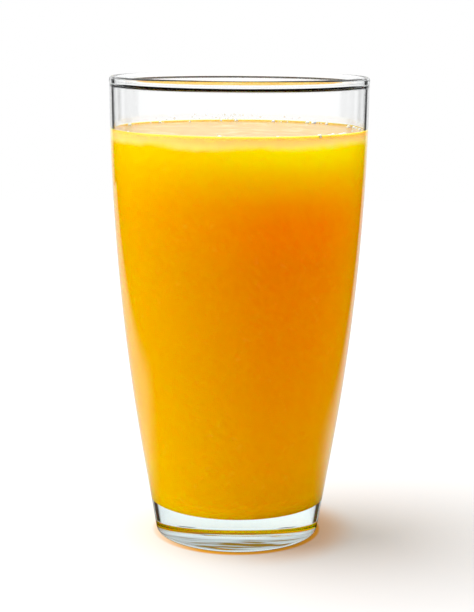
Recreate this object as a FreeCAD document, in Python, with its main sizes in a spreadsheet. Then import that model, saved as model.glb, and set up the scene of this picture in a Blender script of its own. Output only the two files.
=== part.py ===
"""A tall clear tumbler filled with orange juice, as a parametric FreeCAD document in millimetres.

The origin is the middle of the ring that the glass stands on, +Z points up.  Both pieces are turned
about Z: the glass, and the body of juice that fills it up to a level below the rim.
"""

import FreeCAD
import Part
import math
import os
import Sketcher
from FreeCAD import Vector

SIZES = {
    # the whole glass
    "height": 156.0,  # table to the crown of the rim
    "wall_radius": 43.05,  # outside of the wall just under the rim
    "skirt_radius": 32.45,  # outside of the wall where the straight skirt ends
    "skirt_height": 28.0,  # height up to which the wall is a straight cone
    # the glass's thicknesses
    "rim_wall": 1.1,  # wall just under the rim
    "skirt_wall": 2.4,  # wall at the top of the skirt
    "floor_height": 9.6,  # table to the middle of the cavity's floor
    # the fire-polished bead round the rim
    "bead_height": 3.4,
    "bead_width": 2.3,
    "bead_proud": 0.2,  # how far the bead stands out from the wall
    # the foot
    "heel_radius": 1.3,
    "foot_ring_width": 5.5,  # flat ring that touches the table
    "punt_depth": 1.6,  # hollow inside that ring
    # the bottom of the cavity
    "corner_radius": 8.0,
    "dish_radius": 150.0,
    # the juice
    "headspace": 17.0,  # crown of the rim down to the surface of the juice
    "fill_clearance": 0.05,  # between the juice and the glass around it
}

RIM_CENTRE = "(Sizes.height - Sizes.bead_height / 2)"
CAVITY_RIM = "(Sizes.wall_radius - Sizes.rim_wall)"
CAVITY_SKIRT = "(Sizes.skirt_radius - Sizes.skirt_wall)"

ORIGIN_POINT = (-1, 1)
ACROSS_AXIS = -1
UP_AXIS = -2
START, END, CENTRE = 1, 2, 3


def make_sheet(doc):
    sheet = doc.addObject("Spreadsheet::Sheet", "Sizes")
    sheet.Label = "Sizes"
    for row, (alias, value) in enumerate(SIZES.items(), start=1):
        sheet.set(f"A{row}", alias)
        sheet.set(f"B{row}", str(value))
        sheet.setAlias(f"B{row}", alias)
    return sheet


def make_body(doc, name):
    body = doc.addObject("PartDesign::Body", name)
    body.Label = name
    return body


def make_sketch(body, name):
    """A sketch on the body's own XZ plane: across is the radius, up is the height."""
    sketch = body.newObject("Sketcher::SketchObject", name)
    plane = next(item for item in body.Origin.OriginFeatures if item.Role == "XZ_Plane")
    sketch.AttachmentSupport = [(plane, "")]
    sketch.MapMode = "FlatFace"
    return sketch


def bind(sketch, name, expression, *constraint):
    """Adds a measured constraint whose value follows an expression of the sheet's sizes."""
    index = sketch.addConstraint(Sketcher.Constraint(*constraint))
    sketch.renameConstraint(index, name)
    sketch.setExpression(f"Constraints.{name}", expression)


def hold(sketch, *constraint):
    sketch.addConstraint(Sketcher.Constraint(*constraint))


def add_line(sketch, start, end):
    return sketch.addGeometry(Part.LineSegment(Vector(*start, 0), Vector(*end, 0)), False)


def add_arc(sketch, centre, radius, first, last):
    """An arc that turns anticlockwise from the angle `first` to the angle `last`, in radians."""
    circle = Part.Circle(Vector(*centre, 0), Vector(0, 0, 1), radius)
    return sketch.addGeometry(Part.ArcOfCircle(circle, first, last), False)


def flare(rim, skirt):
    """Centre, radius and half spread of the arc that is upright at `rim` and ends at `skirt`."""
    across, up = rim[0] - skirt[0], rim[1] - skirt[1]
    lean = 2 * math.atan2(across, up)
    radius = up / math.sin(lean)
    return (rim[0] - radius, rim[1]), radius, lean


def turn(body, name, sketch):
    feature = body.newObject("PartDesign::Revolution", name)
    feature.Profile = sketch
    feature.ReferenceAxis = (sketch, ["V_Axis"])
    feature.Angle = 360.0
    return feature


def draw_cavity(sketch, top, clearance, expressions):
    """The cavity's outline from `top` down the wall, round the corner and along the dished floor.

    Returns the wall's arc and the floor's arc.  The wall is one arc, upright at the rim, that runs on
    as a straight line below the skirt's height.  `clearance` draws it that much inside the glass.
    """
    rim_height = SIZES["height"] - SIZES["bead_height"] / 2
    rim = (SIZES["wall_radius"] - SIZES["rim_wall"] - clearance, rim_height)
    skirt = (SIZES["skirt_radius"] - SIZES["skirt_wall"] - clearance, SIZES["skirt_height"])
    centre, radius, lean = flare(rim, skirt)
    floor = SIZES["floor_height"] + clearance
    corner = SIZES["corner_radius"] - clearance
    dish = SIZES["dish_radius"] - clearance
    slope = 0.5 * skirt[0] / dish
    corner_height = floor + corner + 1.0
    corner_middle = (skirt[0] - (skirt[1] - corner_height) * math.tan(lean) - corner, corner_height)

    last = math.asin((top - centre[1]) / radius)
    wall = add_arc(sketch, centre, radius, -lean, last)
    lower_end = (corner_middle[0] + corner, corner_height)
    straight = add_line(sketch, skirt, lower_end)
    bend = add_arc(sketch, corner_middle, corner, -math.pi / 2 + slope, -lean)
    dish_arc = add_arc(sketch, (0, floor + dish), dish, -math.pi / 2, -math.pi / 2 + slope)

    hold(sketch, "Tangent", wall, START, straight, START)
    hold(sketch, "Tangent", straight, END, bend, END)
    hold(sketch, "Tangent", bend, START, dish_arc, END)
    hold(sketch, "PointOnObject", dish_arc, START, UP_AXIS)
    hold(sketch, "PointOnObject", dish_arc, CENTRE, UP_AXIS)
    bind(sketch, "cavity_corner", expressions["corner"], "Radius", bend, corner)
    bind(sketch, "cavity_dish", expressions["dish"], "Radius", dish_arc, dish)
    bind(sketch, "cavity_floor", expressions["floor"], "DistanceY", *ORIGIN_POINT, dish_arc, START, floor)
    bind(sketch, "cavity_skirt", expressions["skirt"], "DistanceX", *ORIGIN_POINT, wall, START, skirt[0])
    bind(
        sketch, "cavity_skirt_height", "Sizes.skirt_height", "DistanceY", *ORIGIN_POINT, wall, START, skirt[1]
    )
    bind(sketch, "cavity_arc_height", RIM_CENTRE, "DistanceY", *ORIGIN_POINT, wall, CENTRE, rim_height)
    return wall, dish_arc


def make_tumbler(doc):
    """The glass: a flared wall on a thick base with a flat foot ring, and a bead round the rim."""
    body = make_body(doc, "tumbler")
    sketch = make_sketch(body, "wall_section")
    rim_height = SIZES["height"] - SIZES["bead_height"] / 2
    rim = (SIZES["wall_radius"], rim_height)
    skirt = (SIZES["skirt_radius"], SIZES["skirt_height"])
    centre, radius, lean = flare(rim, skirt)
    heel = SIZES["heel_radius"]
    foot = skirt[0] - skirt[1] * math.tan(lean)
    heel_middle = (foot - heel * math.tan(math.pi / 4 - lean / 2), heel)
    ring_inside = heel_middle[0] - SIZES["foot_ring_width"]
    punt = SIZES["punt_depth"]
    punt_radius = (ring_inside**2 + punt**2) / (2 * punt)
    punt_spread = math.asin(ring_inside / punt_radius)

    wall = add_arc(sketch, centre, radius, -lean, 0)
    straight = add_line(sketch, skirt, (heel_middle[0] + heel, heel))
    bend = add_arc(sketch, heel_middle, heel, -math.pi / 2, -lean)
    ring = add_line(sketch, (heel_middle[0], 0), (ring_inside, 0))
    up = math.pi / 2
    hollow = add_arc(sketch, (0, punt - punt_radius), punt_radius, up - punt_spread, up)
    hold(sketch, "Tangent", wall, START, straight, START)
    hold(sketch, "Tangent", straight, END, bend, END)
    hold(sketch, "Tangent", bend, START, ring, START)
    hold(sketch, "Coincident", ring, END, hollow, START)
    hold(sketch, "PointOnObject", ring, START, ACROSS_AXIS)
    hold(sketch, "PointOnObject", ring, END, ACROSS_AXIS)
    hold(sketch, "PointOnObject", hollow, END, UP_AXIS)
    hold(sketch, "PointOnObject", hollow, CENTRE, UP_AXIS)
    hold(sketch, "Horizontal", wall, CENTRE, wall, END)
    bind(sketch, "rim_height", RIM_CENTRE, "DistanceY", *ORIGIN_POINT, wall, END, rim_height)
    bind(sketch, "rim_outside", "Sizes.wall_radius", "DistanceX", *ORIGIN_POINT, wall, END, rim[0])
    bind(sketch, "skirt_outside", "Sizes.skirt_radius", "DistanceX", *ORIGIN_POINT, wall, START, skirt[0])
    bind(sketch, "skirt_top", "Sizes.skirt_height", "DistanceY", *ORIGIN_POINT, wall, START, skirt[1])
    bind(sketch, "heel", "Sizes.heel_radius", "Radius", bend, heel)
    ring_width = SIZES["foot_ring_width"]
    bind(sketch, "ring", "Sizes.foot_ring_width", "DistanceX", ring, END, ring, START, ring_width)
    bind(sketch, "punt", "Sizes.punt_depth", "DistanceY", *ORIGIN_POINT, hollow, END, punt)

    expressions = {
        "corner": "Sizes.corner_radius",
        "dish": "Sizes.dish_radius",
        "floor": "Sizes.floor_height",
        "skirt": CAVITY_SKIRT,
    }
    inside, floor = draw_cavity(sketch, rim_height, 0.0, expressions)
    lip = add_line(sketch, rim, (SIZES["wall_radius"] - SIZES["rim_wall"], rim_height))
    core = add_line(sketch, (0, punt), (0, SIZES["floor_height"]))
    hold(sketch, "Coincident", lip, START, wall, END)
    hold(sketch, "Coincident", lip, END, inside, END)
    hold(sketch, "Horizontal", lip)
    hold(sketch, "Coincident", core, START, hollow, END)
    hold(sketch, "Coincident", core, END, floor, START)
    bind(sketch, "rim_inside", CAVITY_RIM, "DistanceX", *ORIGIN_POINT, lip, END, rim[0] - SIZES["rim_wall"])
    turn(body, "glass_wall", sketch)

    bead_sketch = make_sketch(body, "bead_section")
    half_height = SIZES["bead_height"] / 2
    half_width = SIZES["bead_width"] / 2
    middle = (SIZES["wall_radius"] + SIZES["bead_proud"] - half_width, rim_height)
    crown = Vector(middle[0], middle[1] + half_height, 0)
    outermost = Vector(middle[0] + half_width, middle[1], 0)
    bead = bead_sketch.addGeometry(Part.Ellipse(crown, outermost, Vector(*middle, 0)), False)
    bead_sketch.exposeInternalGeometry(bead)
    long_axis, short_axis = bead + 1, bead + 2
    middle_radius = "Sizes.wall_radius + Sizes.bead_proud - Sizes.bead_width / 2"
    hold(bead_sketch, "Vertical", long_axis)
    bind(bead_sketch, "bead_height", "Sizes.bead_height", "Distance", long_axis, 2 * half_height)
    bind(bead_sketch, "bead_width", "Sizes.bead_width", "Distance", short_axis, 2 * half_width)
    bind(bead_sketch, "middle", middle_radius, "DistanceX", *ORIGIN_POINT, bead, CENTRE, middle[0])
    bind(bead_sketch, "middle_height", RIM_CENTRE, "DistanceY", *ORIGIN_POINT, bead, CENTRE, rim_height)
    turn(body, "rim_bead", bead_sketch)
    return body


def make_juice(doc):
    """The juice: the cavity's own shape, less the clearance, up to a level surface."""
    body = make_body(doc, "juice")
    sketch = make_sketch(body, "juice_section")
    clearance = SIZES["fill_clearance"]
    level = SIZES["height"] - SIZES["headspace"]
    rim_height = SIZES["height"] - SIZES["bead_height"] / 2
    rim_inside = SIZES["wall_radius"] - SIZES["rim_wall"] - clearance
    expressions = {
        "corner": "Sizes.corner_radius - Sizes.fill_clearance",
        "dish": "Sizes.dish_radius - Sizes.fill_clearance",
        "floor": "Sizes.floor_height + Sizes.fill_clearance",
        "skirt": f"{CAVITY_SKIRT} - Sizes.fill_clearance",
    }
    wall, floor = draw_cavity(sketch, level, clearance, expressions)
    surface = add_line(sketch, (rim_inside - 0.1, level), (0, level))
    core = add_line(sketch, (0, level), (0, SIZES["floor_height"] + clearance))
    upright = sketch.addGeometry(Part.Point(Vector(rim_inside, rim_height, 0)), True)
    hold(sketch, "Coincident", surface, START, wall, END)
    hold(sketch, "Horizontal", surface)
    hold(sketch, "Coincident", surface, END, core, START)
    hold(sketch, "PointOnObject", surface, END, UP_AXIS)
    hold(sketch, "Coincident", core, END, floor, START)
    hold(sketch, "PointOnObject", upright, START, wall)
    hold(sketch, "Horizontal", upright, START, wall, CENTRE)
    inside = f"{CAVITY_RIM} - Sizes.fill_clearance"
    level_height = "Sizes.height - Sizes.headspace"
    bind(sketch, "rim_inside", inside, "DistanceX", *ORIGIN_POINT, upright, START, rim_inside)
    bind(sketch, "level", level_height, "DistanceY", *ORIGIN_POINT, wall, END, level)
    turn(body, "juice_fill", sketch)
    return body


def check(doc, bodies):
    """Stops on any failed object, loose sketch or broken solid, before a file is written."""
    for item in doc.Objects:
        if "Invalid" in item.State or "Error" in item.State:
            raise RuntimeError(f"{item.Label} failed: {item.State}")
        if item.TypeId == "Sketcher::SketchObject" and not item.FullyConstrained:
            raise RuntimeError(f"{item.Label} isn't fully constrained")
    for body in bodies:
        if body.Shape.isNull() or not body.Shape.isValid() or len(body.Shape.Solids) != 1:
            raise RuntimeError(f"{body.Label} isn't one valid solid")


def main():
    doc = FreeCAD.newDocument("glass_of_orange_juice")
    make_sheet(doc)
    doc.recompute()
    bodies = [make_tumbler(doc), make_juice(doc)]
    doc.recompute()
    check(doc, bodies)
    os.makedirs("parts", exist_ok=True)
    for body in bodies:
        body.Shape.exportStep(f"parts/{body.Label}.step")
        box = body.Shape.BoundBox
        print(body.Label, f"{body.Shape.Volume / 1000:.1f} ml", f"z {box.ZMin:.2f} to {box.ZMax:.2f}")


main()
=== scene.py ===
"""A tall tumbler of cloudy orange juice on a white table, under soft studio light.

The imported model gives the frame: +Z up, origin in the middle of the foot ring, metres.  The glass and
the juice are turned sections; sizes that the frame can't tell are named here in millimetres.
"""

import math

import bmesh
import bpy
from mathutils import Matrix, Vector, noise


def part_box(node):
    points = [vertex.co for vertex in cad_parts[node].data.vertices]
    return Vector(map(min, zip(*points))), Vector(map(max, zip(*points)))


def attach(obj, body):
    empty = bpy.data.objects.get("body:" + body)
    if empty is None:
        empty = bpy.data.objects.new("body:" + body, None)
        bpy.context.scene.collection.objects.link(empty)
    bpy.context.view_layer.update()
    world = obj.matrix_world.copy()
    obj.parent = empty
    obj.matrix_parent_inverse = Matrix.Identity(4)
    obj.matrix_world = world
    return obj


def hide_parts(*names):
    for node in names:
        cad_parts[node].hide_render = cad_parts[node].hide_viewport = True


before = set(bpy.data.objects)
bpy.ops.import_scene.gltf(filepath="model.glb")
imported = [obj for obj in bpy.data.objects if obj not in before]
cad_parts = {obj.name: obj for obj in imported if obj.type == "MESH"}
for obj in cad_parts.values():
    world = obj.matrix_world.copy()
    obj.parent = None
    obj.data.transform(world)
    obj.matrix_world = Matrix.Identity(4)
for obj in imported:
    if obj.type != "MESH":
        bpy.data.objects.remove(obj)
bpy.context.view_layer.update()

MM = 0.001

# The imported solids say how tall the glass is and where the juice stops.
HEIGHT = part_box("tumbler")[1][2] / MM
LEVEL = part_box("juice")[1][2] / MM

# Glass, in millimetres.
WALL_RADIUS = 43.05  # outside, under the rim's bead
SKIRT_RADIUS = 32.45  # outside, where the wall's curve runs into a straight cone
SKIRT_HEIGHT = 28.0
RIM_WALL = 1.1
SKIRT_WALL = 2.4
FLOOR_HEIGHT = 9.6  # the middle of the cavity's floor
CORNER_RADIUS = 8.0
DISH_RADIUS = 150.0
HEEL_RADIUS = 1.5
RING_INSIDE = 21.1
PUNT_DEPTH = 0.8
RIPPLE = 0.14  # peak height of the chill ripples under the base
RIPPLE_LENGTH = 7.0
RIPPLE_FADE = 3.0  # they die out this far inside the foot ring
BEAD_HEIGHT = 3.4
BEAD_WIDTH = 2.3
BEAD_PROUD = 0.2  # how far the bead stands out past the wall
BEAD_JOIN = 0.45  # how far below its edges the bead runs softly into the wall
BEAD_SOFTEN = 0.28  # the angle that those joins take from each end of the bead's round
BEAD_THIN = 0.38  # the share of its height that the bead lacks at the back, where it cooled first
BEAD_SETTLE = 9.0  # how far below the rim the wall has taken that up
RIM_CENTRE = HEIGHT - BEAD_HEIGHT / 2
TINT_DENSITY = 11.0  # the glass's own colour, per metre of it

# Juice, in millimetres.
WALL_REACH = 0.12  # how far the juice reaches into the glass, so that no air shows between them
MENISCUS_RISE = 0.6  # how far the juice climbs the wall
MENISCUS_WIDTH = 2.6
MENISCUS_FALL = 0.5  # how far from the wall it has lost about two thirds of that
FROTH_DEPTH = (2.6, 4.6)  # where the froth's lower edge wanders, below the level
FROTH_EDGE = (-1.1, 1.3)  # how softly it ends, below and above that line
FROTH_WANDER = 16.7
FROTH_GRADE = 4.2  # from white-yellow at this depth to amber at the level
FILM_PATCH = 7.7  # size of the patches in the film on the open surface
FILM_BORDER = (31.0, 40.5)  # radii between which the film thins out
PULP_SPACING = 2.38  # pulp sacs are 1-2 mm long
GRADE_DEPTH = 130.0  # the juice's colour changes over this depth below the level

# Bubbles and drops, in millimetres.
BUBBLE_RING = (38.0, 41.3)  # radii that they float between, clear of the glass
SPLASH_LOW = 0.2  # the drops' band starts this far over the level
SPLASH_STEP = (0.03, 0.6)  # out and up: it follows the wall's flare
BEADS_PER_AREA = 90000.0  # beads to a square metre where the crowding is one

# How many steps each part of a mesh has.
ROUND_STEPS = 240
PUNT_STEPS = 24
HEEL_STEPS = 14
WALL_STEPS = 56
JOIN_STEPS = 6
BEAD_STEPS = 56
DISH_STEPS = 10
CORNER_STEPS = 20
SIDE_STEPS = 64
MENISCUS_STEPS = 14
SURFACE_STEPS = 12
PATCH_STEPS = 180

# Camera, in metres, degrees and millimetres of lens.
CAMERA_PLACE = (-0.00097, -0.5285, 0.1753)
CAMERA_DIP = 10.386  # how far below level it looks
CAMERA_ROLL = -0.36
CAMERA_LENS = 92.82

# Studio, in metres, watts and shares of white.
TABLE_RADIUS = 1.0
TABLE_GAP = 0.0001  # keeps the table just clear of the foot ring
TABLE_SEEN = "#DADADA"  # a little under white, so that the soft shadow shows
TABLE_FADE = (0.12, 0.4)  # radii between which the table runs out to plain white
FOOT_LINE = (0.0302, 0.0282)  # outer and inner end of the painted amber line of light round the foot
LINE_FADE = (-0.03, -0.012)  # it is weaker left of these two
LINE_LEFT = 0.3  # its strength there
FOOT_GLOW = (0.046, 0.0265)  # outer and inner end of the painted amber glow of light to its right
GLOW_RISE = (0.0, 0.03)  # it gains strength from left to right between these two
GLOW_SHARES = (0.08, 0.55)  # its strength at those two
WEDGE_AXIS = -0.04  # the painted, glowing white wedge that the glass mirrors opens to the back round this line
WEDGE_SLOPE = 0.47
WEDGE_EDGE = (0.16, 0.09)  # dark outside the first distance from it, white inside the second
WEDGE_START = (0.0, 0.06)
WEDGE_LIGHT = 0.75
FLAG_RADIUS = 0.25
FLAG_LOW = 0.22
FLAG_TOP = 0.7
PANEL_STEP = math.radians(45)  # half the turn from one panel to the next
PANEL_LIGHT = 1.07
GAP_DEPTH = 0.97  # how much of that the gaps between panels lack
CEILING_LIGHT = 0.4
GLINT_LIGHT = 0.8  # what the glass mirrors from straight behind it

# Limits in the world, as parts of a unit direction.
GAP_TOP = (0.16, 0.08)  # the gaps between panels end going up
GAP_SIDE = (0.0, 0.15)  # and are only behind the glass
CEILING_START = (0.2, 0.5)  # the walls turn into the grey ceiling
AMBER_START = (0.42, 0.52)  # and that turns amber
GLINT_BEHIND = (0.86, 0.94)  # the glass mirrors white from here on, straight behind it
GLINT_ABOVE = (0.1, 0.35)  # and above it

# Light, in metres and watts.
SOFT_FRONT = 0.635
SOFT_BACK = 1.1
SOFT_RIGHT = 0.2
KEY_PLACE = (-0.62, 0.12, 1.2)
KEY_SIZE = 1.3
KEY_POWER = 21
KEY_AIM = (0, 0, 0.05)


def linear(code):
    """An sRGB hex colour as linear RGBA."""
    parts = [int(code[i : i + 2], 16) / 255 for i in (1, 3, 5)]
    return [p / 12.92 if p <= 0.04045 else ((p + 0.055) / 1.055) ** 2.4 for p in parts] + [1.0]


# ---------------------------------------------------------------- sections


def spaced(first, last, steps):
    """Evenly spaced values from first to last, ends included."""
    return [first + (last - first) * i / steps for i in range(steps + 1)]


def arc(centre, radius, first, last, steps):
    """Points on an arc from one angle to another, ends included."""
    angles = spaced(first, last, steps)
    return [(centre[0] + radius * math.cos(a), centre[1] + radius * math.sin(a)) for a in angles]


def bend(start, corner, end, steps):
    """Points on a soft corner between two points, ends left out."""
    points = []
    for t in spaced(0.0, 1.0, steps)[1:-1]:
        weights = ((1 - t) ** 2, 2 * t * (1 - t), t**2)
        points.append(tuple(sum(w * p[k] for w, p in zip(weights, (start, corner, end))) for k in (0, 1)))
    return points


def flare(rim, skirt):
    """Centre, radius and lean of the wall's arc, upright at the rim and tangent to a cone below."""
    lean = 2 * math.atan2(rim[0] - skirt[0], rim[1] - skirt[1])
    radius = (rim[1] - skirt[1]) / math.sin(lean)
    return (rim[0] - radius, rim[1]), radius, lean


def wall_arc(rim, skirt, top, steps):
    """The wall's curve from the skirt up to the height `top`."""
    centre, radius, lean = flare(rim, skirt)
    return arc(centre, radius, -lean, math.asin((top - centre[1]) / radius), steps)


def cavity_bottom(skirt, lean, reach=0.0):
    """The cavity's bottom from its middle out to the straight wall; `reach` moves it into the glass."""
    corner = CORNER_RADIUS + reach
    dish = DISH_RADIUS + reach
    floor = FLOOR_HEIGHT - reach
    # The corner's centre lies where it touches both the straight wall and the dish inside it.
    across = Vector((math.cos(lean), -math.sin(lean)))
    on_wall = Vector(skirt) - across * corner
    along = Vector((math.sin(lean), math.cos(lean)))
    dish_centre = Vector((0, floor + dish))
    offset = on_wall - dish_centre
    half = offset.dot(along)
    under = half**2 - offset.length_squared + (dish - corner) ** 2
    centre = on_wall + along * (-half - math.sqrt(under))
    slope = math.asin(centre.x / (dish - corner))
    floor_points = arc(dish_centre, dish, -math.pi / 2, -math.pi / 2 + slope, DISH_STEPS)
    return floor_points[:-1] + arc(centre, corner, -math.pi / 2 + slope, -lean, CORNER_STEPS)


def ellipse_point(middle, half, angle):
    """A point on the bead's round, whose half width and half height are `half`."""
    return (middle[0] + half[0] * math.cos(angle), middle[1] + half[1] * math.sin(angle))


def join_angle(middle, half, radius):
    """How far below level the bead's ellipse crosses a wall of that radius."""
    return math.acos(min(1.0, abs(radius - middle[0]) / half[0]))


def glass_section():
    """The glass's outline, from the middle of the punt round by the rim to the cavity's floor."""
    rim = (WALL_RADIUS, RIM_CENTRE)
    skirt = (SKIRT_RADIUS, SKIRT_HEIGHT)
    lean = flare(rim, skirt)[2]
    foot = SKIRT_RADIUS - SKIRT_HEIGHT * math.tan(lean)
    heel = (foot - HEEL_RADIUS * math.tan(math.pi / 4 - lean / 2), HEEL_RADIUS)
    outward = [i / PUNT_STEPS for i in range(PUNT_STEPS)]
    punt = [(RING_INSIDE * t, PUNT_DEPTH * (0.5 + 0.5 * math.cos(math.pi * t))) for t in outward]
    foot_round = arc(heel, HEEL_RADIUS, -math.pi / 2, -lean, HEEL_STEPS)

    middle = (WALL_RADIUS + BEAD_PROUD - BEAD_WIDTH / 2, RIM_CENTRE)
    half = (BEAD_WIDTH / 2, BEAD_HEIGHT / 2)
    inside_rim = (WALL_RADIUS - RIM_WALL, RIM_CENTRE)
    outer_join = -join_angle(middle, half, WALL_RADIUS)
    inner_join = math.pi + join_angle(middle, half, inside_rim[0])
    turns = spaced(outer_join + BEAD_SOFTEN, inner_join - BEAD_SOFTEN, BEAD_STEPS)
    bead = [ellipse_point(middle, half, turn) for turn in turns]
    outer_corner = ellipse_point(middle, half, outer_join)
    inner_corner = ellipse_point(middle, half, inner_join)
    inside_skirt = (SKIRT_RADIUS - SKIRT_WALL, SKIRT_HEIGHT)
    outer_wall = wall_arc(rim, skirt, outer_corner[1] - BEAD_JOIN, WALL_STEPS)
    inner_wall = wall_arc(inside_rim, inside_skirt, inner_corner[1] - BEAD_JOIN, WALL_STEPS)
    bottom = cavity_bottom(inside_skirt, flare(inside_rim, inside_skirt)[2])
    return (
        punt
        + foot_round
        + outer_wall
        + bend(outer_wall[-1], outer_corner, bead[0], JOIN_STEPS)
        + bead
        + bend(bead[-1], inner_corner, inner_wall[-1], JOIN_STEPS)
        + inner_wall[::-1]
        + bottom[::-1]
    )


def juice_section():
    """The juice's outline in two parts: its bottom and side, and its surface from wall to middle."""
    rim = (WALL_RADIUS - RIM_WALL + WALL_REACH, RIM_CENTRE)
    skirt = (SKIRT_RADIUS - SKIRT_WALL + WALL_REACH, SKIRT_HEIGHT)
    lean = flare(rim, skirt)[2]
    side = cavity_bottom(skirt, lean, WALL_REACH) + wall_arc(rim, skirt, LEVEL, SIDE_STEPS)
    edge = side[-1][0]
    # The surface climbs the wall in a hollow curve, with more points near it, and is level further in.
    surface = []
    for i in range(1, MENISCUS_STEPS + 1):
        inward = MENISCUS_WIDTH * (i / MENISCUS_STEPS) ** 1.6
        drop = MENISCUS_RISE * (1 - math.exp(-inward / MENISCUS_FALL))
        surface.append((edge - inward, LEVEL - drop))
    radius, height = surface[-1]
    surface += [(radius * (1 - i / SURFACE_STEPS), height) for i in range(1, SURFACE_STEPS)]
    return side, surface + [(0.0, height)]


# ---------------------------------------------------------------- meshes


def ring(build, radius, height, steps):
    """Vertices round the axis, or a single one on it; sizes in millimetres."""
    if radius < 1e-6:
        return [build.verts.new((0, 0, height * MM))]
    verts = []
    for i in range(steps):
        turn = math.tau * i / steps
        verts.append(
            build.verts.new((radius * MM * math.cos(turn), radius * MM * math.sin(turn), height * MM))
        )
    return verts


def join_rings(build, lower, upper, steps):
    """Faces from one ring to the next, which are triangles where one of the two is a pole."""
    faces = []
    for i in range(steps):
        j = (i + 1) % steps
        below = [lower[i % len(lower)], lower[j % len(lower)]]
        above = [upper[j % len(upper)], upper[i % len(upper)]]
        faces.append(build.faces.new(list(dict.fromkeys(below + above))))
    return faces


def finished_mesh(build, name):
    """The built shape as a mesh of that name."""
    mesh = bpy.data.meshes.new(name)
    build.to_mesh(mesh)
    build.free()
    return mesh


def placed(name, data):
    """A new object in the scene, at the origin."""
    thing = bpy.data.objects.new(name, data)
    bpy.context.scene.collection.objects.link(thing)
    return thing


def turned(name, sections):
    """A closed solid turned from sections of (radius, height) points in millimetres.

    The sections follow each other and each gets a material slot of its own.
    """
    points = [(point, slot) for slot, section in enumerate(sections) for point in section]
    build = bmesh.new()
    rings = [ring(build, radius, height, ROUND_STEPS) for (radius, height), _ in points]
    for lower, upper, (_, slot) in zip(rings, rings[1:], points[1:]):
        for face in join_rings(build, lower, upper, ROUND_STEPS):
            face.material_index = slot
            face.smooth = True
    bmesh.ops.recalc_face_normals(build, faces=build.faces)
    return placed(name, finished_mesh(build, name))


def thin_bead(glass):
    """Lowers the bead towards the back and lets the wall under it take up the difference."""
    for vert in glass.data.vertices:
        depth = HEIGHT - vert.co.z / MM
        if depth > BEAD_SETTLE:
            continue
        back = 0.5 + 0.5 * vert.co.y / math.hypot(vert.co.x, vert.co.y)
        lost = BEAD_THIN * back * back * (3 - 2 * back)
        if depth < BEAD_HEIGHT:
            depth -= lost * depth
        else:
            depth -= lost * BEAD_HEIGHT * (BEAD_SETTLE - depth) / (BEAD_SETTLE - BEAD_HEIGHT)
        vert.co.z = (HEIGHT - depth) * MM


def ripple_underside(glass):
    """Low chill ripples under the base, which break up what shows through it."""
    for vert in glass.data.vertices:
        radius = math.hypot(vert.co.x, vert.co.y) / MM
        if radius > RING_INSIDE or vert.co.z > (PUNT_DEPTH + 0.1) * MM:
            continue
        # They are longer from side to side than from front to back.
        spot = Vector((vert.co.x * 0.6, vert.co.y, 0)) / (RIPPLE_LENGTH * MM)
        fade = min(1.0, (RING_INSIDE - radius) / RIPPLE_FADE)
        swell = 0.5 + noise.noise(spot) + 0.4 * noise.noise(spot * 2.3)
        vert.co.z += max(0.0, RIPPLE * MM * fade * swell)


# ---------------------------------------------------------------- materials


def add(tree, kind, inputs=None, stops=(), **settings):
    """Adds a node, sets its properties, and links or sets each of its inputs.

    `stops` are the (position, hex colour) pairs of a colour ramp.
    """
    node = tree.nodes.new(kind)
    for name, value in settings.items():
        setattr(node, name, value)
    for name, value in (inputs or {}).items():
        if isinstance(value, bpy.types.NodeSocket):
            tree.links.new(value, node.inputs[name])
        else:
            node.inputs[name].default_value = value
    for _ in stops[2:]:
        node.color_ramp.elements.new(0.5)
    for number, (position, code) in enumerate(stops):
        node.color_ramp.elements[number].position = position
        node.color_ramp.elements[number].color = linear(code)
    return node


def new_material(name):
    """An empty material of that name, and its node tree."""
    material = bpy.data.materials.new(name)
    material.use_nodes = True
    material.node_tree.nodes.clear()
    return material, material.node_tree


def scattered_ray(tree, path):
    """One for a ray that has left a matt surface, which carries soft light and no picture."""
    depth = path.outputs["Diffuse Depth"]
    return add(tree, "ShaderNodeMath", {0: depth, 1: 0.5}, operation="GREATER_THAN").outputs[0]


def mirrored_ray(tree, path):
    """One for a ray that a smooth surface has just mirrored."""
    inputs = {0: path.outputs["Is Reflection Ray"], 1: path.outputs["Is Glossy Ray"]}
    return add(tree, "ShaderNodeMath", inputs, operation="MULTIPLY").outputs[0]


def soda_lime_glass():
    """Soda-lime glass, blown and fire-polished: clear, perfectly smooth, blue-green where it is thick."""
    material, tree = new_material("soda_lime_glass_fire_polished")
    glass = add(
        tree,
        "ShaderNodeBsdfPrincipled",
        {"Base Color": linear("#FFFFFF"), "Roughness": 0.0, "IOR": 1.52, "Transmission Weight": 1.0},
    )
    # Soft light reaches the juice and the table through the glass as it would through air.
    path = add(tree, "ShaderNodeLightPath")
    soft = add(
        tree,
        "ShaderNodeMath",
        {0: path.outputs["Is Shadow Ray"], 1: scattered_ray(tree, path)},
        operation="MAXIMUM",
    )
    clear = add(tree, "ShaderNodeBsdfTransparent", {"Color": linear("#F7FBF9")})
    both = add(tree, "ShaderNodeMixShader", {0: soft.outputs[0], 1: glass.outputs[0], 2: clear.outputs[0]})
    tint = add(tree, "ShaderNodeVolumeAbsorption", {"Color": linear("#CCEEF2"), "Density": TINT_DENSITY})
    add(tree, "ShaderNodeOutputMaterial", {"Surface": both.outputs[0], "Volume": tint.outputs[0]})
    return material


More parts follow.
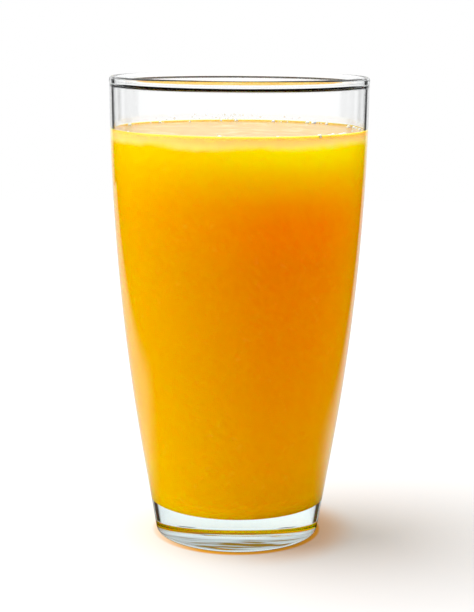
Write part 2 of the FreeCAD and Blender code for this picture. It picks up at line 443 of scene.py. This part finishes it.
def juice_colour(tree, place, height):
    """Bright yellow near the level, deeper orange further down, with fine pulp in it; partly painted light,
    yellower near the level, on the lamp's side and at the thin edges.
    """
    depth = add(
        tree,
        "ShaderNodeMapRange",
        {"Value": height, "From Min": LEVEL * MM, "From Max": (LEVEL - GRADE_DEPTH) * MM},
    )
    # Partly painted light: the bright yellow over the top few centimetres stands for light coming in
    # through the open surface, as well as for fine froth mixed in.
    body = add(
        tree,
        "ShaderNodeValToRGB",
        {0: depth.outputs[0]},
        stops=[
            (0.035, "#FFF200"),
            (0.06, "#FFE400"),
            (0.09, "#FFC800"),
            (0.12, "#FFB000"),
            (0.17, "#FE8A00"),
            (0.22, "#FA7600"),
            (0.32, "#EC7400"),
            (0.6, "#E68200"),
            (0.85, "#E49200"),
            (1.0, "#DA9600"),
        ],
    )
    # Painted light: the colour is mixed towards yellow on the lamp's side, as if more light came through
    # there, and at the thin edges left and right, as if they glowed.
    flat = add(tree, "ShaderNodeVectorMath", {0: place, 1: (1, 1, 0)}, operation="MULTIPLY")
    outward = add(tree, "ShaderNodeVectorMath", {0: flat.outputs[0]}, operation="NORMALIZE")
    across = add(tree, "ShaderNodeSeparateXYZ", {0: outward.outputs[0]}).outputs["X"]
    turned_to = add(tree, "ShaderNodeMapRange", {"Value": across, "From Min": -1.0, "From Max": 1.0})
    painted_glow = add(
        tree,
        "ShaderNodeValToRGB",
        {0: turned_to.outputs[0]},
        stops=[
            (0.0, "#E6E6E6"),
            (0.1, "#D4D4D4"),
            (0.25, "#C4C4C4"),
            (0.38, "#B0B0B0"),
            (0.5, "#949494"),
            (0.65, "#6C6C6C"),
            (0.82, "#6C6C6C"),
            (0.92, "#949494"),
            (1.0, "#C8C8C8"),
        ],
    )
    lit = add(
        tree,
        "ShaderNodeMix",
        {"Factor": painted_glow.outputs[0], "A": body.outputs[0], "B": linear("#EEC000")},
        data_type="RGBA",
    )
    # Where the noise is high, a sac shows as a slightly paler fleck.
    pulp = add(
        tree,
        "ShaderNodeTexNoise",
        {"Vector": place, "Scale": 1 / (PULP_SPACING * MM), "Detail": 3.0},
    )
    fleck = add(
        tree,
        "ShaderNodeMapRange",
        {"Value": pulp.outputs[0], "From Min": 0.6, "From Max": 0.78, "To Max": 0.1},
    )
    pulpy = add(
        tree,
        "ShaderNodeMix",
        {"Factor": fleck.outputs[0], "A": lit.outputs["Result"], "B": linear("#FFC24A")},
        data_type="RGBA",
    )
    return pulpy.outputs["Result"]


def froth_mask(tree, place, height):
    """One within the froth's band under the level, whose lower edge wanders by a millimetre or so."""
    wander = add(
        tree,
        "ShaderNodeTexNoise",
        {"Vector": place, "Scale": 1 / (FROTH_WANDER * MM), "Detail": 4.0},
    )
    lower = add(
        tree,
        "ShaderNodeMapRange",
        {
            "Value": wander.outputs[0],
            "From Min": 0.3,
            "From Max": 0.7,
            "To Min": (LEVEL - FROTH_DEPTH[1]) * MM,
            "To Max": (LEVEL - FROTH_DEPTH[0]) * MM,
        },
    )
    above = add(tree, "ShaderNodeMath", {0: height, 1: lower.outputs[0]}, operation="SUBTRACT")
    return add(
        tree,
        "ShaderNodeMapRange",
        {"Value": above.outputs[0], "From Min": FROTH_EDGE[0] * MM, "From Max": FROTH_EDGE[1] * MM},
        interpolation_type="SMOOTHSTEP",
    ).outputs[0]


def cloudy_juice():
    """Cloudy orange juice behind glass: pulp scatters light deep inside, so thin parts glow yellow, and
    more yellow is painted into its colour near the level, on the lamp's side and at the edges.
    """
    material, tree = new_material("cloudy_orange_juice")
    place = add(tree, "ShaderNodeTexCoord").outputs["Object"]
    height = add(tree, "ShaderNodeSeparateXYZ", {0: place}).outputs["Z"]
    layer = add(
        tree,
        "ShaderNodeMapRange",
        {"Value": height, "From Min": (LEVEL - FROTH_GRADE) * MM, "From Max": LEVEL * MM},
    )
    froth = add(
        tree,
        "ShaderNodeValToRGB",
        {0: layer.outputs[0]},
        stops=[
            (0.0, "#FFF08A"),
            (0.34, "#FEE284"),
            (0.68, "#F4D078"),
            (0.88, "#E4B460"),
            (0.97, "#CC8C30"),
        ],
    )
    colour = add(
        tree,
        "ShaderNodeMix",
        {
            "Factor": froth_mask(tree, place, height),
            "A": juice_colour(tree, place, height),
            "B": froth.outputs[0],
        },
        data_type="RGBA",
    )
    # Red light goes about 14 mm deep in the juice, green a quarter of that, blue hardly at all.
    shader = add(
        tree,
        "ShaderNodeBsdfPrincipled",
        {
            "Base Color": colour.outputs["Result"],
            "Roughness": 0.5,
            "IOR": 1.34,
            "Specular IOR Level": 0.0,
            "Subsurface Weight": 1.0,
            "Subsurface Radius": (1.0, 0.25, 0.05),
            "Subsurface Scale": 14 * MM,
        },
        subsurface_method="RANDOM_WALK",
    )
    add(tree, "ShaderNodeOutputMaterial", {"Surface": shader.outputs[0]})
    return material


def juice_surface():
    """The juice's open surface: wet, with a pale film of fine froth and a deeper border at the glass."""
    material, tree = new_material("orange_juice_wet_froth")
    place = add(tree, "ShaderNodeTexCoord").outputs["Object"]
    patches = add(
        tree,
        "ShaderNodeTexNoise",
        {"Vector": place, "Scale": 1 / (FILM_PATCH * MM), "Detail": 5.0, "Distortion": 0.4},
    )
    film = add(
        tree,
        "ShaderNodeValToRGB",
        {0: patches.outputs[0]},
        stops=[(0.36, "#CC9C28"), (0.52, "#CEA634"), (0.68, "#D6BE6C")],
    )
    flat = add(tree, "ShaderNodeVectorMath", {0: place, 1: (1, 1, 0)}, operation="MULTIPLY")
    out = add(tree, "ShaderNodeVectorMath", {0: flat.outputs[0]}, operation="LENGTH")
    border = add(
        tree,
        "ShaderNodeMapRange",
        {
            "Value": out.outputs["Value"],
            "From Min": FILM_BORDER[0] * MM,
            "From Max": FILM_BORDER[1] * MM,
            "To Max": 0.9,
        },
        interpolation_type="SMOOTHSTEP",
    )
    colour = add(
        tree,
        "ShaderNodeMix",
        {"Factor": border.outputs[0], "A": film.outputs[0], "B": linear("#D09A30")},
        data_type="RGBA",
    )
    shader = add(
        tree,
        "ShaderNodeBsdfPrincipled",
        {
            "Base Color": colour.outputs["Result"],
            "Roughness": 0.24,
            "IOR": 1.34,
            "Subsurface Weight": 1.0,
            "Subsurface Radius": (1.0, 0.6, 0.3),
            "Subsurface Scale": 4 * MM,
        },
        subsurface_method="RANDOM_WALK",
    )
    add(tree, "ShaderNodeOutputMaterial", {"Surface": shader.outputs[0]})
    return material


def froth_bubble():
    """A small bubble of juice froth: a pale wet skin that glows, with a sharp glint."""
    material, tree = new_material("orange_juice_bubble_skin")
    shader = add(
        tree,
        "ShaderNodeBsdfPrincipled",
        {
            "Base Color": linear("#FFF8E4"),
            "Roughness": 0.08,
            "IOR": 1.34,
            "Subsurface Weight": 1.0,
            "Subsurface Radius": (1.0, 0.8, 0.5),
            "Subsurface Scale": 3 * MM,
        },
    )
    add(tree, "ShaderNodeOutputMaterial", {"Surface": shader.outputs[0]})
    return material


def splashed_drop():
    """A drop of juice drying on the glass: pale and see-through because it is thin."""
    material, tree = new_material("orange_juice_thin_drop")
    shader = add(
        tree,
        "ShaderNodeBsdfPrincipled",
        {"Base Color": linear("#FFFAEC"), "Roughness": 0.2, "IOR": 1.34, "Alpha": 0.3},
    )
    add(tree, "ShaderNodeOutputMaterial", {"Surface": shader.outputs[0]})
    return material


# ---------------------------------------------------------------- bubbles and drops


def bead_tree():
    """Scatters round beads of mixed sizes over a patch, as thickly as its `crowd` says."""
    tree = bpy.data.node_groups.new("scatter_beads", "GeometryNodeTree")
    for name, kind in (
        ("Patch", "NodeSocketGeometry"),
        ("Crowding", "NodeSocketFloat"),
        ("Largest Radius", "NodeSocketFloat"),
        ("Smallest Share", "NodeSocketFloat"),
        ("Flatness", "NodeSocketFloat"),
        ("Seed", "NodeSocketInt"),
        ("Skin", "NodeSocketMaterial"),
    ):
        tree.interface.new_socket(name, in_out="INPUT", socket_type=kind)
    tree.interface.new_socket("Beads", in_out="OUTPUT", socket_type="NodeSocketGeometry")
    given = add(tree, "NodeGroupInput").outputs
    crowd = add(tree, "GeometryNodeInputNamedAttribute", {"Name": "crowd"}, data_type="FLOAT")
    density = add(tree, "ShaderNodeMath", {0: crowd.outputs[0], 1: given["Crowding"]}, operation="MULTIPLY")
    spots = add(
        tree,
        "GeometryNodeDistributePointsOnFaces",
        {"Mesh": given["Patch"], "Density": density.outputs[0], "Seed": given["Seed"]},
    )
    # Small beads are far more common than large ones.
    share = add(tree, "FunctionNodeRandomValue", {"Seed": given["Seed"]}, data_type="FLOAT")
    skewed = add(tree, "ShaderNodeMath", {0: share.outputs[1], 1: 2.5}, operation="POWER")
    size = add(
        tree,
        "ShaderNodeMapRange",
        {"Value": skewed.outputs[0], "To Min": given["Smallest Share"], "To Max": 1.0},
    )
    radius = add(
        tree,
        "ShaderNodeMath",
        {0: size.outputs[0], 1: given["Largest Radius"]},
        operation="MULTIPLY",
    )
    thick = add(tree, "ShaderNodeMath", {0: radius.outputs[0], 1: given["Flatness"]}, operation="MULTIPLY")
    scale = add(
        tree,
        "ShaderNodeCombineXYZ",
        {"X": radius.outputs[0], "Y": radius.outputs[0], "Z": thick.outputs[0]},
    )
    ball = add(tree, "GeometryNodeMeshUVSphere", {"Segments": 10, "Rings": 6, "Radius": 1.0})
    beads = add(
        tree,
        "GeometryNodeInstanceOnPoints",
        {
            "Points": spots.outputs["Points"],
            "Instance": ball.outputs["Mesh"],
            "Rotation": spots.outputs["Rotation"],
            "Scale": scale.outputs[0],
        },
    )
    real = add(tree, "GeometryNodeRealizeInstances", {"Geometry": beads.outputs[0]})
    smooth = add(tree, "GeometryNodeSetShadeSmooth", {"Geometry": real.outputs[0]})
    skin = add(tree, "GeometryNodeSetMaterial", {"Geometry": smooth.outputs[0], "Material": given["Skin"]})
    add(tree, "NodeGroupOutput", {"Beads": skin.outputs[0]})
    return tree


def scattered(name, tree, patch, values):
    """A plain mesh piece of the beads that the tree scatters over the patch."""
    host = placed(name + "_host", patch)
    modifier = host.modifiers.new("beads", "NODES")
    modifier.node_group = tree
    for socket in tree.interface.items_tree:
        if socket.name in values:
            modifier[socket.identifier] = values[socket.name]
    graph = bpy.context.evaluated_depsgraph_get()
    mesh = bpy.data.meshes.new_from_object(host.evaluated_get(graph), depsgraph=graph)
    mesh.name = name
    bpy.data.objects.remove(host)
    return placed(name, mesh)


def heaped(heading, spread, heaps):
    """How crowded a heading is: `spread` everywhere, and (heading, width, height) heaps in degrees."""
    total = 0.0
    for middle, width, height in heaps:
        away = (heading - middle + 180) % 360 - 180
        total += height * math.exp(-((away / width) ** 2))
    return spread + total


def patch_mesh(name, section, spread, heaps):
    """A strip turned from (radius, height) points, with the crowding at each heading as `crowd`."""
    build = bmesh.new()
    crowd = build.verts.layers.float.new("crowd")
    rings = [ring(build, radius, height, PATCH_STEPS) for radius, height in section]
    for verts in rings:
        for number, vert in enumerate(verts):
            vert[crowd] = heaped(360 * number / PATCH_STEPS, spread, heaps)
    for lower, upper in zip(rings, rings[1:]):
        join_rings(build, lower, upper, PATCH_STEPS)
    return finished_mesh(build, name)


def make_bubbles(tree):
    """Bubbles round the edge of the juice, gathered in clusters."""
    edge = [point for point in juice_section()[1] if BUBBLE_RING[0] < point[0] < BUBBLE_RING[1]]
    heaps = [
        (47, 4, 9),
        (-47, 5, 8),
        (-34, 3, 6),
        (91, 5, 5),
        (128, 7, 2),
        (-98, 8, 1.5),
        (-140, 9, 2),
        (12, 6, 2),
    ]
    values = {
        "Crowding": BEADS_PER_AREA,
        "Largest Radius": 0.85 * MM,
        "Smallest Share": 0.22,
        "Flatness": 1.0,
        "Seed": 5,
        "Skin": froth_bubble(),
    }
    return scattered("froth_bubbles", tree, patch_mesh("meniscus", edge, 0.35, heaps), values)


def make_drops(tree):
    """Small drops left on the inside of the glass just above the juice, most of them at the back."""
    radius = juice_section()[0][-1][0] - WALL_REACH
    out, up = SPLASH_STEP
    wall = [(radius + out * i, LEVEL + SPLASH_LOW + up * i) for i in range(4)]
    heaps = [(94, 14, 9), (58, 9, 3), (128, 8, 2)]
    values = {
        "Crowding": BEADS_PER_AREA,
        "Largest Radius": 0.5 * MM,
        "Smallest Share": 0.25,
        "Flatness": 0.3,
        "Seed": 11,
        "Skin": splashed_drop(),
    }
    return scattered("splashed_drops", tree, patch_mesh("splash_band", wall, 0.12, heaps), values)


# ---------------------------------------------------------------- studio


def make_camera():
    """Just above the rim's height and a little over half a metre in front of the glass."""
    data = bpy.data.cameras.new("camera")
    camera = placed("camera", data)
    data.lens = CAMERA_LENS
    data.sensor_width = 36.0
    data.clip_start = 0.01
    camera.location = CAMERA_PLACE
    camera.rotation_euler = (math.radians(90 - CAMERA_DIP), math.radians(CAMERA_ROLL), 0)
    bpy.context.scene.camera = camera


def painted_foot_glow(tree, xyz, radius):
    """How much painted amber light the table gets, standing in for light that has come through the juice.

    It paints a line round the foot that fades to the left, and a glow to its right.
    """
    line = add(
        tree,
        "ShaderNodeMapRange",
        {"Value": radius, "From Min": FOOT_LINE[0], "From Max": FOOT_LINE[1]},
        interpolation_type="SMOOTHSTEP",
    )
    near = add(
        tree,
        "ShaderNodeMapRange",
        {"Value": radius, "From Min": FOOT_GLOW[0], "From Max": FOOT_GLOW[1]},
        interpolation_type="SMOOTHERSTEP",
    )
    fading = add(
        tree,
        "ShaderNodeMapRange",
        {
            "Value": xyz.outputs["X"],
            "From Min": LINE_FADE[0],
            "From Max": LINE_FADE[1],
            "To Min": LINE_LEFT,
            "To Max": 1.0,
        },
    )
    lee = add(
        tree,
        "ShaderNodeMapRange",
        {
            "Value": xyz.outputs["X"],
            "From Min": GLOW_RISE[0],
            "From Max": GLOW_RISE[1],
            "To Min": GLOW_SHARES[0],
            "To Max": GLOW_SHARES[1],
        },
    )
    edge = add(tree, "ShaderNodeMath", {0: line.outputs[0], 1: fading.outputs[0]}, operation="MULTIPLY")
    painted_glow = add(tree, "ShaderNodeMath", {0: near.outputs[0], 1: lee.outputs[0]}, operation="MULTIPLY")
    return add(tree, "ShaderNodeMath", {0: edge.outputs[0], 1: painted_glow.outputs[0]}, operation="MAXIMUM")


def table_mirrored(tree, xyz):
    """What the glass mirrors of the table, as a painted reflection: a glowing white wedge behind it, and
    nothing beside or before it.
    """
    aside = add(tree, "ShaderNodeMath", {0: xyz.outputs["X"], 1: WEDGE_AXIS}, operation="SUBTRACT")
    across = add(tree, "ShaderNodeMath", {0: aside.outputs[0]}, operation="ABSOLUTE")
    wedge = add(
        tree,
        "ShaderNodeMath",
        {0: xyz.outputs["Y"], 1: -WEDGE_SLOPE, 2: across.outputs[0]},
        operation="MULTIPLY_ADD",
    )
    between = add(
        tree,
        "ShaderNodeMapRange",
        {
            "Value": wedge.outputs[0],
            "From Min": WEDGE_EDGE[0],
            "From Max": WEDGE_EDGE[1],
            "To Max": WEDGE_LIGHT,
        },
        interpolation_type="SMOOTHSTEP",
    )
    behind = add(
        tree,
        "ShaderNodeMapRange",
        {"Value": xyz.outputs["Y"], "From Min": WEDGE_START[0], "From Max": WEDGE_START[1]},
        interpolation_type="SMOOTHSTEP",
    )
    seen = add(tree, "ShaderNodeMath", {0: between.outputs[0], 1: behind.outputs[0]}, operation="MULTIPLY")
    return add(tree, "ShaderNodeEmission", {"Color": linear("#FFFFFF"), "Strength": seen.outputs[0]})


def white_laminate():
    """Matt white laminate: even and without gloss, and run out to plain white further off; painted amber
    light round the foot, and a painted reflection that only mirrored rays see.
    """
    material, tree = new_material("white_laminate_matt")
    place = add(tree, "ShaderNodeTexCoord").outputs["Object"]
    xyz = add(tree, "ShaderNodeSeparateXYZ", {0: place})
    radius = add(tree, "ShaderNodeVectorMath", {0: place}, operation="LENGTH").outputs["Value"]
    path = add(tree, "ShaderNodeLightPath")
    shade = add(
        tree,
        "ShaderNodeMix",
        {"Factor": path.outputs["Is Diffuse Ray"], "A": linear(TABLE_SEEN), "B": linear("#F6F6F6")},
        data_type="RGBA",
    )
    # Painted light: amber round the foot and to its right, standing in for light that has come through the
    # juice.
    with_painted_glow = add(
        tree,
        "ShaderNodeMix",
        {
            "Factor": painted_foot_glow(tree, xyz, radius).outputs[0],
            "A": shade.outputs["Result"],
            "B": linear("#DC9A30"),
        },
        data_type="RGBA",
    )
    lit = add(tree, "ShaderNodeBsdfDiffuse", {"Color": with_painted_glow.outputs["Result"]})
    fade = add(
        tree,
        "ShaderNodeMapRange",
        {"Value": radius, "From Min": TABLE_FADE[0], "From Max": TABLE_FADE[1]},
        interpolation_type="SMOOTHSTEP",
    )
    white = add(tree, "ShaderNodeEmission", {"Color": linear("#FFFFFF"), "Strength": 1.15})
    ground = add(tree, "ShaderNodeMixShader", {0: fade.outputs[0], 1: lit.outputs[0], 2: white.outputs[0]})
    # A painted reflection: what mirrored rays see of the table.
    painted_reflection = table_mirrored(tree, xyz)
    both = add(
        tree,
        "ShaderNodeMixShader",
        {0: mirrored_ray(tree, path), 1: ground.outputs[0], 2: painted_reflection.outputs[0]},
    )
    add(tree, "ShaderNodeOutputMaterial", {"Surface": both.outputs[0]})
    return material


def make_table():
    """A round table top, just clear of the foot ring."""
    build = bmesh.new()
    bmesh.ops.create_circle(build, cap_ends=True, segments=96, radius=TABLE_RADIUS)
    for vert in build.verts:
        vert.co.z = -TABLE_GAP
    table = placed("table", finished_mesh(build, "table"))
    table.data.materials.append(white_laminate())


def panels(tree, xyz):
    """What the glass bends into view: white panels with dark gaps low behind it, grey overhead."""
    heading = add(tree, "ShaderNodeMath", {0: xyz.outputs["X"], 1: xyz.outputs["Y"]}, operation="ARCTAN2")
    turn = add(tree, "ShaderNodeMath", {0: heading.outputs[0], 1: PANEL_STEP}, operation="PINGPONG")
    share = add(tree, "ShaderNodeMath", {0: turn.outputs[0], 1: PANEL_STEP}, operation="DIVIDE")
    gap = add(
        tree,
        "ShaderNodeValToRGB",
        {0: share.outputs[0]},
        stops=[(19 / 45, "#000000"), (23 / 45, "#FFFFFF"), (31 / 45, "#FFFFFF"), (35 / 45, "#000000")],
    )
    low = add(
        tree,
        "ShaderNodeMapRange",
        {
            "Value": xyz.outputs["Z"],
            "From Min": GAP_TOP[0],
            "From Max": GAP_TOP[1],
            "To Max": GAP_DEPTH * PANEL_LIGHT,
        },
    )
    behind = add(
        tree,
        "ShaderNodeMapRange",
        {"Value": xyz.outputs["Y"], "From Min": GAP_SIDE[0], "From Max": GAP_SIDE[1]},
    )
    there = add(tree, "ShaderNodeMath", {0: behind.outputs[0], 1: low.outputs[0]}, operation="MULTIPLY")
    lost = add(tree, "ShaderNodeMath", {0: gap.outputs[0], 1: there.outputs[0]}, operation="MULTIPLY")
    walls = add(tree, "ShaderNodeMath", {0: PANEL_LIGHT, 1: lost.outputs[0]}, operation="SUBTRACT")
    ceiling = add(
        tree,
        "ShaderNodeMapRange",
        {
            "Value": xyz.outputs["Z"],
            "From Min": CEILING_START[0],
            "From Max": CEILING_START[1],
            "To Min": 1.0,
            "To Max": CEILING_LIGHT,
        },
    )
    return add(tree, "ShaderNodeMath", {0: walls.outputs[0], 1: ceiling.outputs[0]}, operation="MULTIPLY")


def glints(tree, xyz):
    """What the glass mirrors: white straight behind it and above, dark all round."""
    behind = add(
        tree,
        "ShaderNodeMapRange",
        {
            "Value": xyz.outputs["Y"],
            "From Min": GLINT_BEHIND[0],
            "From Max": GLINT_BEHIND[1],
            "To Max": GLINT_LIGHT,
        },
        interpolation_type="SMOOTHSTEP",
    )
    above = add(
        tree,
        "ShaderNodeMapRange",
        {"Value": xyz.outputs["Z"], "From Min": GLINT_ABOVE[0], "From Max": GLINT_ABOVE[1]},
        interpolation_type="SMOOTHSTEP",
    )
    return add(tree, "ShaderNodeMath", {0: behind.outputs[0], 1: above.outputs[0]}, operation="MAXIMUM")


def soft_light(tree, xyz):
    """What lights the juice and the table: white all round, stronger from behind and from the right."""
    deep = add(
        tree,
        "ShaderNodeMapRange",
        {
            "Value": xyz.outputs["Y"],
            "From Min": -1.0,
            "From Max": 1.0,
            "To Min": SOFT_FRONT,
            "To Max": SOFT_BACK,
        },
    )
    inputs = {0: xyz.outputs["X"], 1: SOFT_RIGHT, 2: deep.outputs[0]}
    return add(tree, "ShaderNodeMath", inputs, operation="MULTIPLY_ADD")


def make_world():
    """A white studio, which looks different to rays through the glass, mirrored rays and soft light."""
    world = bpy.data.worlds.new("studio")
    bpy.context.scene.world = world
    world.use_nodes = True
    world.cycles.sampling_method = "NONE"
    tree = world.node_tree
    tree.nodes.clear()
    path = add(tree, "ShaderNodeLightPath")
    way = add(tree, "ShaderNodeTexCoord").outputs["Generated"]
    xyz = add(tree, "ShaderNodeSeparateXYZ", {0: way})
    strength = panels(tree, xyz)
    # Each of these takes over from the one before where its kind of ray arrives.
    for kind, other in (
        (mirrored_ray(tree, path), glints(tree, xyz).outputs[0]),
        (scattered_ray(tree, path), soft_light(tree, xyz).outputs[0]),
        (path.outputs["Is Camera Ray"], 1.0),
    ):
        strength = add(
            tree,
            "ShaderNodeMix",
            {"Factor": kind, "A": strength.outputs[0], "B": other},
            data_type="FLOAT",
        )
    # High up it is amber to the base's ripples, as if they caught the juice over them.
    high = add(
        tree,
        "ShaderNodeMapRange",
        {"Value": xyz.outputs["Z"], "From Min": AMBER_START[0], "From Max": AMBER_START[1]},
        interpolation_type="SMOOTHSTEP",
    )
    caught = add(
        tree,
        "ShaderNodeMath",
        {0: high.outputs[0], 1: path.outputs["Is Transmission Ray"]},
        operation="MULTIPLY",
    )
    hue = add(
        tree,
        "ShaderNodeMix",
        {"Factor": caught.outputs[0], "A": linear("#FFFFFF"), "B": linear("#EEB03C")},
        data_type="RGBA",
    )
    light = add(
        tree,
        "ShaderNodeBackground",
        {"Color": hue.outputs["Result"], "Strength": strength.outputs[0]},
    )
    add(tree, "ShaderNodeOutputWorld", {"Surface": light.outputs[0]})


def black_felt():
    """Pressed wool felt, dyed black: it gives back next to no light."""
    material, tree = new_material("black_felt_pressed")
    felt = add(tree, "ShaderNodeBsdfDiffuse", {"Color": linear("#080808")})
    add(tree, "ShaderNodeOutputMaterial", {"Surface": felt.outputs[0]})
    return material


def make_flag():
    """A black band round the set above the white, which draws the dark lines in the rim's bead."""
    build = bmesh.new()
    bmesh.ops.create_cone(
        build, segments=96, radius1=FLAG_RADIUS, radius2=FLAG_RADIUS, depth=FLAG_TOP - FLAG_LOW
    )
    for vert in build.verts:
        vert.co.z += (FLAG_TOP + FLAG_LOW) / 2
    flag = placed("flag", finished_mesh(build, "flag"))
    flag.data.materials.append(black_felt())
    # Only rays through the glass meet it.
    flag.visible_camera = False
    flag.visible_diffuse = False
    flag.visible_glossy = False
    flag.visible_shadow = False
    flag.visible_volume_scatter = False


def make_key():
    """A large soft lamp, high on the left."""
    data = bpy.data.lights.new("key", "AREA")
    data.shape = "DISK"
    data.size = KEY_SIZE
    data.energy = KEY_POWER
    key = placed("key", data)
    key.location = KEY_PLACE
    key.rotation_euler = (Vector(KEY_AIM) - key.location).to_track_quat("-Z", "Y").to_euler()
    key.visible_glossy = False
    key.visible_transmission = False


def main():
    """Builds the studio, then the glass, the juice and what floats and clings there."""
    make_camera()
    make_table()
    make_world()
    make_flag()
    make_key()
    bpy.context.scene.view_settings.view_transform = "Standard"

    tumbler = turned("tumbler_glass", [glass_section()])
    thin_bead(tumbler)
    ripple_underside(tumbler)
    tumbler.data.materials.append(soda_lime_glass())
    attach(tumbler, "root")
    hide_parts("tumbler")

    juice = turned("juice_body", juice_section())
    juice.data.materials.append(cloudy_juice())
    juice.data.materials.append(juice_surface())
    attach(juice, "root")
    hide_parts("juice")

    tree = bead_tree()
    for piece in (make_bubbles(tree), make_drops(tree)):
        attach(piece, "root")


main()
